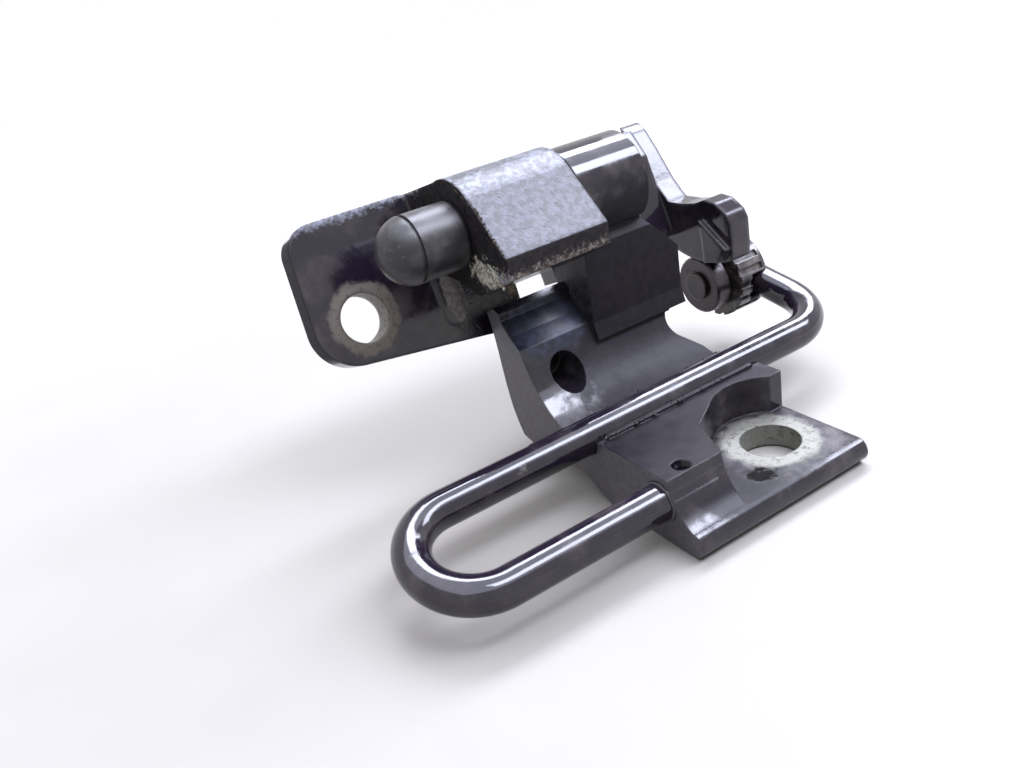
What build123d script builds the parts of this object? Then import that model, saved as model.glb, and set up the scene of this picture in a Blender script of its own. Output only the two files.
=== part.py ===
from build123d import *
import os
from math import acos, atan2, cos, degrees, hypot, radians, sin, tan

# Car door hinge whose torsion bar loads a roller against a cam. Millimetres.
# Leaf A is bolted down by its flange. Its seating face lies in Z = 0 and the
# centre of its bolt hole is the origin. The hinge pin runs along X, and leaf B
# swings about it, away from leaf A's wall, by a positive turn about +X.

# Torsion bar
BAR_R = 4.5
BAR_FIT = 0.05
LEG_1_Y = 22.25
LEG_1_Z = 16.0
LEG_2_Y = -4.45
LEG_2_Z = 10.0
LOOP_X = -80.2
CRANK_BEND_R = 15.4
STUB_BEND_R = 6.0
JOURNAL_R = 3.0
JOURNAL_HEAD_R = 4.2
JOURNAL_HEAD_THICK = 0.9

# Leaf A: sizes
LEAF_A_LEFT = -39.4
LEAF_A_RIGHT = 14.6
FLANGE_FRONT_Y = -17.4
FLANGE_THICK = 6.1
FLANGE_NOSE_R = 2.0
BLOCK_TOP_Z = 16.5
BLOCK_FRONT_Y = -7.2
LIP_THICK = 1.3
LIP_RISE = 0.9
LIP_NOTCH = 3.0
BOLT_A_R = 7.5
SPOT_FACE_R = 14.0
SPOT_FACE_BACK_Y = 9.5
STAKE_HOLE_R = 2.25
STAKE_HOLE_X = -32.6
LEG_2_BORE_DEPTH = 14.0
WALL_HOLE_R = 4.8
WALL_HOLE_X = -28.6
WALL_HOLE_Z = 23.3
WALL_HOLE_END_Y = 53.0
WALL_INNER_Y = 45.25
WALL_OUTER_Y = 60.0
POST_TAPER_FOOT_Z = 44.0
POST_TAPER_TOP_Z = 54.5
KNUCKLE_R = 12.4
KNUCKLE_RIGHT = 4.0

# Leaf A: profile, as (Y, Z) points
SEAT_BACK = (14.0, 0.0)
ARCH_FRONT = (20.5, 2.6)
ARCH_CROWN = (34.5, 7.2)
ARCH_BACK = (48.25, 4.0)
WALL_HEEL = (52.4, 4.9)
WALL_BACK_LOW = (57.2, 18.5)
WALL_BACK_MID = (58.65, 30.4)
WALL_BACK_TOP = (60.75, 39.5)
WALL_TIP = (57.15, 41.3)
WALL_TIP_FRONT = (54.45, 40.3)
FLAT_TOP = (54.65, 38.3)
FLAT_MID = (50.85, 34.7)
FLAT_FOOT = (46.95, 31.8)
TROUGH_MID = (40.6, 20.8)
TROUGH_FLOOR = (30.0, 13.5)
TROUGH_EDGE_Z = 15.0
HOLLOW_FOOT_Y = -14.6
HOLLOW_MID = (-9.9, 10.0)
POST_FOOT_FRONT = (43.75, 27.0)
POST_FOOT_BACK = (58.5, 29.0)

# Leaf A: left flare of the spot face, as (X, Y) points
FLARE_BACK = (-9.2, 10.6)
FLARE_MID = (-17.5, 5.45)
FLARE_FRONT = (-22.9, -7.35)
FLARE_OUT = (-23.5, -16.0)

# Leaf A: bite that clears the crank, as (X, Z) points
BITE_START_Y = 33.0
BITE_FLOOR_Z = 12.8
BITE_LIP = (14.2, 13.6)
BITE_SLOPE = (12.6, 16.7)
BITE_CORNER = (7.9, 20.5)
BITE_DEEPEST = (6.5, 24.2)
BITE_TOP = (8.6, 27.4)

# Hinge pin, its bushes and what holds it
PIN_Y = 54.25
PIN_Z = 65.0
PIN_R = 5.0
PIN_END_CHAMFER = 0.8
BUSH_WALL = 1.2
BUSH_LENGTH = 9.5
BUSH_FLANGE_R = 9.5
BUSH_FLANGE_THICK = 1.0
RUNNING_GAP = 0.05
FACE_GAP = 0.3
PIN_HEAD_R = 6.8
PIN_HEAD_THICK = 3.5
PIN_NECK_R = 3.5
PIN_NECK_LENGTH = 5.0
PIN_KNOB_R = 4.6
PIN_KNOB_LENGTH = 2.0
WASHER_R = 8.0
WASHER_THICK = 1.2
CLIP_R = 6.6
CLIP_GROOVE_R = 4.2
CLIP_THICK = 1.0
PIN_TAIL = 1.6

# Leaf B: sizes
PLATE_LEFT = -84.2
PLATE_RIGHT = 37.6
PLATE_THICK = 8.0
PLATE_TILT = 21.7
PLATE_FOOT_Y = 49.9
PLATE_TOP_Z = 72.0
PLATE_TOP_LEFT_INSET = 2.3
PLATE_TOP_STEP_X = -50.0
PLATE_TOP_LOW_X = -35.0
PLATE_TOP_LOW_Z = 69.6
PLATE_SHOULDER_Z = 61.6
PLATE_PAD_LEFT = -49.0
PLATE_PAD_WIDTH = 6.0
PLATE_PAD_LOW_Z = 37.0
PLATE_PAD_TOP_Z = 54.0
PLATE_PAD_THICK = 1.0
PLATE_LOWER_CORNER_R = 11.0
PLATE_UPPER_CORNER_R = 7.0
PIN_BLOCK_LEFT = -47.4
PIN_BLOCK_LENGTH = 29.5
PIN_BLOCK_R = 13.6
BOLT_B_R = 6.4
BOLT_B_X = -69.9
BOLT_B_Z = 47.1
ARM_THICK = 7.0
ARM_STEP = 2.0
CAM_GAP = 0.4
CAM_NOSE_ANGLE = 247.0
CAM_HEEL_ANGLE = 300.0

# Leaf B: lower edge of the plate, as (X, Z) points
LOBE_CORNER_Z = 37.9
LOBE_FOOT = (-40.2, 32.4)
NOTCH_LEFT_FOOT = (-26.6, 30.5)
NOTCH_LEFT_TOP = (-25.3, 52.0)
NOTCH_RIGHT_TOP = (-13.0, 52.0)
NOTCH_RIGHT_FOOT = (-13.0, 38.0)
PLATE_HEEL = (28.0, 38.0)
ARM_FOOT_Z = 41.0

# Leaf B: pin block, as (Y, Z) points
BLOCK_NOSE_TOP = (31.65, 63.0)
BLOCK_NOSE_FOOT = (31.65, 57.6)
BLOCK_BELLY_FRONT = (46.5, 50.3)
BLOCK_BELLY_BACK = (57.0, 52.0)
BLOCK_ROOT_FOOT_Z = 52.0
BLOCK_ROOT_TOP_Z = 70.5
BLOCK_CROWN_ANGLE = 62.0

# Leaf B: upper outline of the arm, as (Y, Z) points
ARM_NOSE = ((41.0, 38.5), (41.2, 45.6), (42.6, 48.0), (44.6, 49.3), (46.9, 50.6))
ARM_CREST = ((51.2, 51.0), (55.4, 49.3), (60.0, 48.5), (66.3, 48.2))
ARM_BACK = ((71.5, 53.2), (77.6, 61.2), (82.4, 66.8))
ARM_ROOT_TOP_Z = 68.6
ARM_ROOT_FOOT_Z = 42.0
ARM_WEDGE = (
    (52.2, 45.4),
    (50.9, 44.7),
    (41.6, 38.2),
    (44.8, 34.2),
    (51.0, 32.6),
    (51.3, 39.0),
)

# Roller, its bush and washer, and the ribbed housing on the bar's end
ROLLER_Y = 57.55
ROLLER_Z = 22.9
ROLLER_R = 8.7
ROLLER_CHAMFER = 0.6
ROLLER_LEFT = 31.8
ROLLER_LENGTH = 5.3
ROLLER_BUSH_WALL = 1.2
ROLLER_WASHER_R = 6.2
ROLLER_WASHER_THICK = 1.2
DRUM_R = 11.8
DRUM_LENGTH = 10.0
DRUM_RIM = 1.2
DRUM_RIBS = 18
DRUM_GROOVE_WIDTH = 2.0
DRUM_GROOVE_DEPTH = 0.7
CRANK_OVERHANG = 0.1

# Rubber stop cap over the pin head
CAP_WALL = 1.8
CAP_LENGTH = 13.5
CAP_EDGE = 1.0
CAP_GROOVE = 0.7
DOME_LENGTH = 7.5

# Values that follow from the sizes above
pin_block_right = PIN_BLOCK_LEFT + PIN_BLOCK_LENGTH
knuckle_left = pin_block_right + FACE_GAP + BUSH_FLANGE_THICK
bush_bore_r = PIN_R + RUNNING_GAP
barrel_bore_r = bush_bore_r + BUSH_WALL
washer_left = KNUCKLE_RIGHT + BUSH_FLANGE_THICK + FACE_GAP
clip_left = washer_left + WASHER_THICK
pin_right = clip_left + CLIP_THICK + PIN_TAIL
roller_right = ROLLER_LEFT + ROLLER_LENGTH
drum_left = roller_right + FACE_GAP + ROLLER_WASHER_THICK
journal_left = ROLLER_LEFT - FACE_GAP
roller_bore_r = JOURNAL_R + RUNNING_GAP + ROLLER_BUSH_WALL
crank_angle = atan2(ROLLER_Z - LEG_1_Z, ROLLER_Y - LEG_1_Y)
crank_reach = hypot(ROLLER_Z - LEG_1_Z, ROLLER_Y - LEG_1_Y)
crank_x = drum_left + DRUM_LENGTH + CRANK_OVERHANG
crank_bend_x = crank_x - CRANK_BEND_R
stub_start_x = crank_x - STUB_BEND_R
cam_r = PIN_Z - ROLLER_Z - ROLLER_R - CAM_GAP
plate_slope = radians(PLATE_TILT)
pin_centre = (PIN_Y, PIN_Z)
roller_centre = (ROLLER_Y, ROLLER_Z)
pin_axis = Axis((0, PIN_Y, PIN_Z), (1, 0, 0))
pin_section = Plane(origin=(0, PIN_Y, PIN_Z), x_dir=(1, 0, 0), z_dir=(0, -1, 0))
plate_face = Plane(
    origin=(0, PLATE_FOOT_Y, 0),
    x_dir=(1, 0, 0),
    z_dir=(0, -cos(plate_slope), sin(plate_slope)),
)


def crank_point(x, distance):
    """A point in the crank plane, so far out from leg 1 towards the roller axis."""
    return (
        x,
        LEG_1_Y + distance * cos(crank_angle),
        LEG_1_Z + distance * sin(crank_angle),
    )


def on_plate(x, z):
    """The place on leaf B's front face that has the given X and height."""
    return (x, z / cos(plate_slope))


def behind_plate_face(z, depth):
    """The (Y, Z) place at a height and so far behind leaf B's front face."""
    return (PLATE_FOOT_Y + z * tan(plate_slope) + depth / cos(plate_slope), z)


def from_pin(radius, angle):
    """The (Y, Z) place at a radius and an angle about the pin, 0 along +Y."""
    return (PIN_Y + radius * cos(radians(angle)), PIN_Z + radius * sin(radians(angle)))


def tangent_angle(point, radius):
    """The angle about the pin where a line over the top from a point meets a circle."""
    away_y = point[0] - PIN_Y
    away_z = point[1] - PIN_Z
    seen = degrees(atan2(away_z, away_y)) % 360
    return seen - degrees(acos(radius / hypot(away_y, away_z)))


def across_x(x):
    """The plane square to the pin at a place along X, with Y and Z as its axes."""
    return Plane.YZ.offset(x)


# Leaf A: one forged profile, straight from its left end to its right end
lip_near_y = LEG_1_Y - BAR_R - LIP_THICK
lip_far_y = LEG_1_Y + BAR_R + LIP_THICK
flange_nose_y = FLANGE_FRONT_Y + FLANGE_NOSE_R
leaf_a_length = LEAF_A_RIGHT - LEAF_A_LEFT
hollow_foot = (HOLLOW_FOOT_Y, FLANGE_THICK)
hollow_top = (BLOCK_FRONT_Y, BLOCK_TOP_Z)
bite_right = LEAF_A_RIGHT + LIP_THICK
with BuildPart() as leaf_a:
    with BuildSketch(across_x(LEAF_A_LEFT)):
        with BuildLine():
            # Seating face, flange nose and the hollow up to the block
            Polyline(ARCH_FRONT, SEAT_BACK, (flange_nose_y, 0))
            ThreePointArc(
                (flange_nose_y, 0),
                (FLANGE_FRONT_Y, FLANGE_THICK / 2),
                (flange_nose_y, FLANGE_THICK),
            )
            Line((flange_nose_y, FLANGE_THICK), hollow_foot)
            ThreePointArc(hollow_foot, HOLLOW_MID, hollow_top)
            # Block top, the two lips beside the bar and the trough
            Polyline(
                hollow_top,
                (lip_near_y, BLOCK_TOP_Z),
                (lip_near_y, BLOCK_TOP_Z + LIP_RISE),
                (lip_far_y, BLOCK_TOP_Z + LIP_RISE),
                (lip_far_y, TROUGH_EDGE_Z),
                TROUGH_FLOOR,
            )
            ThreePointArc(TROUGH_FLOOR, TROUGH_MID, FLAT_FOOT)
            # Clearance flat and tip of the wall, then its back and the arch below
            Polyline(FLAT_FOOT, FLAT_MID, FLAT_TOP, WALL_TIP_FRONT, WALL_TIP, WALL_BACK_TOP)
            Spline(WALL_BACK_TOP, WALL_BACK_MID, WALL_BACK_LOW, WALL_HEEL)
            Line(WALL_HEEL, ARCH_BACK)
            ThreePointArc(ARCH_BACK, ARCH_CROWN, ARCH_FRONT)
        make_face()
    extrude(amount=leaf_a_length)
    # The wall goes on up as a post to the knuckle that holds the pin
    with BuildSketch(across_x(knuckle_left)):
        Polygon(
            POST_FOOT_FRONT,
            (WALL_INNER_Y, FLAT_FOOT[1]),
            (WALL_INNER_Y, PIN_Z - KNUCKLE_R),
            pin_centre,
            (WALL_OUTER_Y, PIN_Z - KNUCKLE_R),
            (WALL_OUTER_Y, FLAT_TOP[1]),
            POST_FOOT_BACK,
            align=None,
        )
    extrude(amount=LEAF_A_RIGHT - knuckle_left)
    with BuildSketch(across_x(knuckle_left)):
        with Locations(pin_centre):
            Circle(KNUCKLE_R)
    extrude(amount=KNUCKLE_RIGHT - knuckle_left)
    # Right edge of the post, which leans in to the knuckle's end
    with BuildSketch(Plane.XZ.offset(-LEG_1_Y)):
        Polygon(
            (LEAF_A_RIGHT, POST_TAPER_FOOT_Z),
            (KNUCKLE_RIGHT, POST_TAPER_TOP_Z),
            (KNUCKLE_RIGHT, PIN_Z + KNUCKLE_R),
            (bite_right, PIN_Z + KNUCKLE_R),
            (bite_right, POST_TAPER_FOOT_Z),
            align=None,
        )
    extrude(amount=-PIN_Y, mode=Mode.SUBTRACT)
    # Bore for the bushes of the pin
    with BuildSketch(across_x(knuckle_left)):
        with Locations(pin_centre):
            Circle(barrel_bore_r)
    extrude(amount=leaf_a_length, mode=Mode.SUBTRACT)
    # Groove of leg 1, whose lips lean in over the bar
    with BuildSketch(across_x(LEAF_A_LEFT)):
        with Locations((LEG_1_Y, LEG_1_Z)):
            Circle(BAR_R + BAR_FIT)
    extrude(amount=leaf_a_length, mode=Mode.SUBTRACT)
    # Blind bore of leg 2
    with BuildSketch(across_x(LEAF_A_LEFT)):
        with Locations((LEG_2_Y, LEG_2_Z)):
            Circle(BAR_R + BAR_FIT)
    extrude(amount=LEG_2_BORE_DEPTH, mode=Mode.SUBTRACT)
    # Notches at both ends of the near lip
    with BuildSketch(Plane.XY.offset(BLOCK_TOP_Z)):
        for notch_x in (LEAF_A_LEFT, LEAF_A_RIGHT - LIP_NOTCH):
            with Locations((notch_x, lip_near_y)):
                Rectangle(LIP_NOTCH, BAR_R, align=(Align.MIN, Align.MIN))
    extrude(amount=LIP_RISE, mode=Mode.SUBTRACT)
    # Spot face for the bolt, open to the front and the right, flared to the left
    with BuildSketch(Plane.XY.offset(FLANGE_THICK)):
        Circle(SPOT_FACE_R)
        with Locations((0, SPOT_FACE_BACK_Y)):
            Rectangle(LEAF_A_RIGHT, leaf_a_length, align=(Align.MIN, Align.MAX))
        Polygon(
            FLARE_BACK,
            FLARE_MID,
            FLARE_FRONT,
            FLARE_OUT,
            (0, FLARE_OUT[1]),
            (0, 0),
            align=None,
        )
    extrude(amount=BLOCK_TOP_Z, mode=Mode.SUBTRACT)
    # Bolt hole through the flange
    with BuildSketch(Plane.XY):
        Circle(BOLT_A_R)
    extrude(amount=FLANGE_THICK, mode=Mode.SUBTRACT)
    # Small hole from the block's top down to the end of leg 2
    with BuildSketch(Plane.XY.offset(LEG_2_Z)):
        with Locations((STAKE_HOLE_X, LEG_2_Y)):
            Circle(STAKE_HOLE_R)
    extrude(amount=BLOCK_TOP_Z - LEG_2_Z, mode=Mode.SUBTRACT)
    # Blind hole in the wall, drilled from the trough
    with BuildSketch(Plane.XZ.offset(-LEG_1_Y)):
        with Locations((WALL_HOLE_X, WALL_HOLE_Z)):
            Circle(WALL_HOLE_R)
    extrude(amount=LEG_1_Y - WALL_HOLE_END_Y, mode=Mode.SUBTRACT)
    # Bite out of the wall's right end that clears the crank
    with BuildSketch(Plane.XZ.offset(-BITE_START_Y)):
        with BuildLine():
            Polyline((bite_right, BITE_FLOOR_Z), BITE_LIP, BITE_SLOPE, BITE_CORNER)
            ThreePointArc(BITE_CORNER, BITE_DEEPEST, BITE_TOP)
            Polyline(BITE_TOP, (bite_right, BITE_TOP[1]), (bite_right, BITE_FLOOR_Z))
        make_face()
    extrude(amount=-WALL_OUTER_Y, mode=Mode.SUBTRACT)
leaf_a.part.label = "leaf_a"


# Torsion bar: one bent bar from the blind bore round to the roller's journal
leg_gap_y = LEG_1_Y - LEG_2_Y
leg_gap_z = LEG_1_Z - LEG_2_Z
loop_r = hypot(leg_gap_y, leg_gap_z) / 2
leg_1_loop = (LOOP_X, LEG_1_Y, LEG_1_Z)
leg_2_loop = (LOOP_X, LEG_2_Y, LEG_2_Z)
leg_2_end = (LEAF_A_LEFT + LEG_2_BORE_DEPTH - FACE_GAP, LEG_2_Y, LEG_2_Z)
loop_top = (LOOP_X - loop_r, LEG_2_Y + leg_gap_y / 2, LEG_2_Z + leg_gap_z / 2)
crank_start = (crank_bend_x, LEG_1_Y, LEG_1_Z)
eighth = cos(radians(45))
crank_mid = crank_point(crank_bend_x + CRANK_BEND_R * eighth, CRANK_BEND_R * (1 - eighth))
arm_start = crank_point(crank_x, CRANK_BEND_R)
arm_end = crank_point(crank_x, crank_reach - STUB_BEND_R)
stub_mid = crank_point(
    crank_x - STUB_BEND_R * (1 - eighth),
    crank_reach - STUB_BEND_R * (1 - eighth),
)
stub_start = crank_point(stub_start_x, crank_reach)
with BuildPart() as torsion_bar:
    with BuildLine():
        Line(leg_2_end, leg_2_loop)
        ThreePointArc(leg_2_loop, loop_top, leg_1_loop)
        Line(leg_1_loop, crank_start)
        ThreePointArc(crank_start, crank_mid, arm_start)
        Line(arm_start, arm_end)
        ThreePointArc(arm_end, stub_mid, stub_start)
        Line(stub_start, crank_point(drum_left, crank_reach))
    with BuildSketch(Plane(origin=leg_2_end, z_dir=(-1, 0, 0))):
        Circle(BAR_R)
    sweep()
    # Journal turned on the end, with its head peened over the roller
    with BuildSketch(across_x(journal_left)):
        with Locations(roller_centre):
            Circle(JOURNAL_R)
    extrude(amount=drum_left - journal_left)
    with BuildSketch(across_x(journal_left - JOURNAL_HEAD_THICK)):
        with Locations(roller_centre):
            Circle(JOURNAL_HEAD_R)
    extrude(amount=JOURNAL_HEAD_THICK)
torsion_bar.part.label = "torsion_bar"


# Bushes: flanged sleeves pressed into both ends of the knuckle
def flanged_bush(outer_x, inward):
    """One bush: its flange lies against the knuckle face at outer_x."""
    with BuildPart() as bush:
        with BuildSketch(across_x(outer_x)):
            with Locations(pin_centre):
                Circle(barrel_bore_r)
                Circle(bush_bore_r, mode=Mode.SUBTRACT)
        extrude(amount=inward * BUSH_LENGTH)
        with BuildSketch(across_x(outer_x)):
            with Locations(pin_centre):
                Circle(BUSH_FLANGE_R)
                Circle(bush_bore_r, mode=Mode.SUBTRACT)
        extrude(amount=-inward * BUSH_FLANGE_THICK)
    return bush


bush_left = flanged_bush(knuckle_left, 1)
bush_left.part.label = "bush_left"
bush_right = flanged_bush(KNUCKLE_RIGHT, -1)
bush_right.part.label = "bush_right"


# Hinge pin: shank, head, and a knob on a neck that holds the rubber cap
head_left = PIN_BLOCK_LEFT - PIN_HEAD_THICK
neck_left = head_left - PIN_NECK_LENGTH
knob_left = neck_left - PIN_KNOB_LENGTH
with BuildPart() as hinge_pin:
    with BuildSketch(pin_section):
        with BuildLine():
            Polyline(
                (knob_left, 0),
                (knob_left, PIN_NECK_R),
                (neck_left, PIN_KNOB_R),
                (neck_left, PIN_NECK_R),
                (head_left, PIN_NECK_R),
                (head_left, PIN_HEAD_R),
                (PIN_BLOCK_LEFT, PIN_HEAD_R),
                (PIN_BLOCK_LEFT, PIN_R),
                (clip_left, PIN_R),
                (clip_left, CLIP_GROOVE_R),
                (clip_left + CLIP_THICK, CLIP_GROOVE_R),
                (clip_left + CLIP_THICK, PIN_R),
                (pin_right - PIN_END_CHAMFER, PIN_R),
                (pin_right, PIN_R - PIN_END_CHAMFER),
                (pin_right, 0),
                close=True,
            )
        make_face()
    revolve(axis=pin_axis)
hinge_pin.part.label = "hinge_pin"

# Washer and clip that hold the pin at the knuckle's right end
with BuildPart() as pin_washer:
    with BuildSketch(across_x(washer_left)):
        with Locations(pin_centre):
            Circle(WASHER_R)
            Circle(PIN_R + RUNNING_GAP, mode=Mode.SUBTRACT)
    extrude(amount=WASHER_THICK)
pin_washer.part.label = "pin_washer"

with BuildPart() as pin_clip:
    with BuildSketch(across_x(clip_left)):
        with Locations(pin_centre):
            Circle(CLIP_R)
            Circle(CLIP_GROOVE_R, mode=Mode.SUBTRACT)
            Rectangle(CLIP_R, CLIP_GROOVE_R, align=(Align.MIN, Align.CENTER), mode=Mode.SUBTRACT)
    extrude(amount=CLIP_THICK)
pin_clip.part.label = "pin_clip"

# Rubber cap: a sleeve seated on leaf B's pin block, a ring groove and a dome
cap_r = PIN_HEAD_R + CAP_WALL
cap_shoulder = PIN_BLOCK_LEFT - CAP_LENGTH
dome_r = (cap_r**2 + DOME_LENGTH**2) / (2 * DOME_LENGTH)
dome_centre_x = cap_shoulder - DOME_LENGTH + dome_r
with BuildPart() as pin_cap:
    with BuildSketch(pin_section):
        with BuildLine():
            Polyline(
                (cap_shoulder - DOME_LENGTH, 0),
                (knob_left, 0),
                (knob_left, PIN_NECK_R),
                (neck_left, PIN_KNOB_R),
                (neck_left, PIN_NECK_R),
                (head_left, PIN_NECK_R),
                (head_left, PIN_HEAD_R),
                (PIN_BLOCK_LEFT, PIN_HEAD_R),
                (PIN_BLOCK_LEFT, cap_r - CAP_GROOVE),
                (PIN_BLOCK_LEFT - CAP_EDGE, cap_r),
                (cap_shoulder + CAP_EDGE, cap_r),
                (cap_shoulder + CAP_EDGE, cap_r - CAP_GROOVE),
                (cap_shoulder, cap_r - CAP_GROOVE),
                (cap_shoulder, cap_r),
            )
            ThreePointArc(
                (cap_shoulder, cap_r),
                (dome_centre_x - dome_r * eighth, dome_r * eighth),
                (cap_shoulder - DOME_LENGTH, 0),
            )
        make_face()
    revolve(axis=pin_axis)
pin_cap.part.label = "pin_cap"


# Leaf B: the plate that leans back behind the pin, its pin block and cam arm
arm_left = PLATE_RIGHT - ARM_THICK
block_crown_start = tangent_angle(BLOCK_NOSE_TOP, PIN_BLOCK_R)
pad_centre_x = PLATE_PAD_LEFT + PLATE_PAD_WIDTH / 2
block_root_foot = behind_plate_face(BLOCK_ROOT_FOOT_Z, PLATE_THICK / 2)
block_root_top = behind_plate_face(BLOCK_ROOT_TOP_Z, PLATE_THICK / 2)
with BuildPart() as leaf_b:
    with BuildSketch(plate_face) as plate_outline:
        with BuildLine():
            Polyline(
                on_plate(PLATE_LEFT + PLATE_TOP_LEFT_INSET, PLATE_TOP_Z),
                on_plate(PLATE_LEFT, LOBE_CORNER_Z),
                on_plate(*LOBE_FOOT),
                on_plate(*NOTCH_LEFT_FOOT),
                on_plate(*NOTCH_LEFT_TOP),
                on_plate(*NOTCH_RIGHT_TOP),
                on_plate(*NOTCH_RIGHT_FOOT),
                on_plate(*PLATE_HEEL),
                on_plate(arm_left, ARM_FOOT_Z),
                on_plate(arm_left, PLATE_TOP_LOW_Z),
                on_plate(PLATE_TOP_LOW_X, PLATE_TOP_LOW_Z),
                on_plate(PLATE_TOP_STEP_X, PLATE_TOP_Z),
                close=True,
            )
        make_face()
        fillet(plate_outline.vertices().sort_by(Axis.X)[0], PLATE_LOWER_CORNER_R)
        fillet(
            plate_outline.vertices().group_by(Axis.Y)[-1].sort_by(Axis.X)[0],
            PLATE_UPPER_CORNER_R,
        )
    extrude(amount=-PLATE_THICK)
    # Shoulder that slopes back from the plate's front to its top, right of the block
    with BuildSketch(across_x(pin_block_right)):
        Polygon(
            behind_plate_face(PLATE_SHOULDER_Z, 0),
            behind_plate_face(PLATE_TOP_LOW_Z, PLATE_THICK / 2),
            behind_plate_face(PLATE_TOP_LOW_Z + PLATE_THICK, PLATE_THICK / 2),
            behind_plate_face(PLATE_TOP_LOW_Z, -PLATE_THICK),
            align=None,
        )
    extrude(amount=arm_left - pin_block_right, mode=Mode.SUBTRACT)
    # Low pad on the plate under the cap, rounded at its foot
    with BuildSketch(plate_face):
        with Locations(on_plate(pad_centre_x, PLATE_PAD_LOW_Z + PLATE_PAD_WIDTH / 2)):
            Circle(PLATE_PAD_WIDTH / 2)
            Rectangle(
                PLATE_PAD_WIDTH,
                PLATE_PAD_TOP_Z - PLATE_PAD_LOW_Z,
                align=(Align.CENTER, Align.MIN),
            )
    extrude(amount=PLATE_PAD_THICK)
    # Block that carries the pin: a wedge in front and round over the pin
    with BuildSketch(across_x(PIN_BLOCK_LEFT)):
        with BuildLine():
            Polyline(
                from_pin(PIN_BLOCK_R, BLOCK_CROWN_ANGLE),
                block_root_top,
                block_root_foot,
                BLOCK_BELLY_BACK,
                BLOCK_BELLY_FRONT,
                BLOCK_NOSE_FOOT,
                BLOCK_NOSE_TOP,
                from_pin(PIN_BLOCK_R, block_crown_start),
            )
            ThreePointArc(
                from_pin(PIN_BLOCK_R, block_crown_start),
                from_pin(PIN_BLOCK_R, (block_crown_start + BLOCK_CROWN_ANGLE) / 2),
                from_pin(PIN_BLOCK_R, BLOCK_CROWN_ANGLE),
            )
        make_face()
    extrude(amount=PIN_BLOCK_LENGTH)
    # Arm at the right end: a cam whose underside is struck from the pin
    with BuildSketch(across_x(arm_left)):
        with BuildLine():
            Polyline(
                from_pin(cam_r, CAM_NOSE_ANGLE),
                *ARM_NOSE,
                *ARM_CREST,
                *ARM_BACK,
                behind_plate_face(ARM_ROOT_TOP_Z, PLATE_THICK),
                behind_plate_face(ARM_ROOT_FOOT_Z, PLATE_THICK),
                from_pin(cam_r, CAM_HEEL_ANGLE),
            )
            ThreePointArc(
                from_pin(cam_r, CAM_HEEL_ANGLE),
                from_pin(cam_r, (CAM_HEEL_ANGLE + CAM_NOSE_ANGLE) / 2),
                from_pin(cam_r, CAM_NOSE_ANGLE),
            )
        make_face()
    extrude(amount=ARM_THICK)
    # Wedge standing proud on the arm's face beside the roller
    with BuildSketch(across_x(arm_left)):
        Polygon(*ARM_WEDGE, align=None)
    extrude(amount=-ARM_STEP)
    # Bore for the pin
    with BuildSketch(across_x(PIN_BLOCK_LEFT)):
        with Locations(pin_centre):
            Circle(PIN_R)
    extrude(amount=PIN_BLOCK_LENGTH, mode=Mode.SUBTRACT)
    # Bolt hole in the plate
    with BuildSketch(plate_face):
        with Locations(on_plate(BOLT_B_X, BOLT_B_Z)):
            Circle(BOLT_B_R)
    extrude(amount=-PLATE_THICK, mode=Mode.SUBTRACT)
leaf_b.part.label = "leaf_b"

# Roller on the journal, with its bush and washer
with BuildPart() as roller:
    with BuildSketch(across_x(ROLLER_LEFT)):
        with Locations(roller_centre):
            Circle(ROLLER_R)
            Circle(roller_bore_r, mode=Mode.SUBTRACT)
    extrude(amount=ROLLER_LENGTH)
    chamfer(roller.edges().filter_by(GeomType.CIRCLE).group_by(SortBy.RADIUS)[-1], ROLLER_CHAMFER)
roller.part.label = "roller"

with BuildPart() as roller_bush:
    with BuildSketch(across_x(ROLLER_LEFT)):
        with Locations(roller_centre):
            Circle(roller_bore_r)
            Circle(JOURNAL_R + RUNNING_GAP, mode=Mode.SUBTRACT)
    extrude(amount=ROLLER_LENGTH)
roller_bush.part.label = "roller_bush"

with BuildPart() as roller_washer:
    with BuildSketch(across_x(roller_right + FACE_GAP)):
        with Locations(roller_centre):
            Circle(ROLLER_WASHER_R)
            Circle(JOURNAL_R + RUNNING_GAP, mode=Mode.SUBTRACT)
    extrude(amount=ROLLER_WASHER_THICK)
roller_washer.part.label = "roller_washer"

# Ribbed housing: slipped over the bar's end, slotted where the crank comes in
slot_plane = Plane(
    origin=(stub_start_x, ROLLER_Y, ROLLER_Z),
    x_dir=(0, cos(crank_angle), sin(crank_angle)),
    z_dir=(1, 0, 0),
)
with BuildPart() as end_housing:
    with BuildSketch(across_x(drum_left)):
        with Locations(roller_centre):
            Circle(DRUM_R)
    extrude(amount=DRUM_LENGTH)
    # Grooves between the ribs, stopped short of the rim
    with BuildSketch(across_x(drum_left)):
        with Locations(roller_centre):
            with PolarLocations(DRUM_R, DRUM_RIBS):
                Rectangle(DRUM_GROOVE_DEPTH * 2, DRUM_GROOVE_WIDTH)
    extrude(amount=DRUM_LENGTH - DRUM_RIM, mode=Mode.SUBTRACT)
    # Bore and slot for the bar
    with BuildSketch(across_x(drum_left)):
        with Locations(roller_centre):
            Circle(BAR_R + BAR_FIT)
    extrude(amount=DRUM_LENGTH, mode=Mode.SUBTRACT)
    with BuildSketch(slot_plane):
        Rectangle(DRUM_R * 2, (BAR_R + BAR_FIT) * 2, align=(Align.MAX, Align.CENTER))
    extrude(amount=DRUM_LENGTH, mode=Mode.SUBTRACT)
end_housing.part.label = "end_housing"

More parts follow.
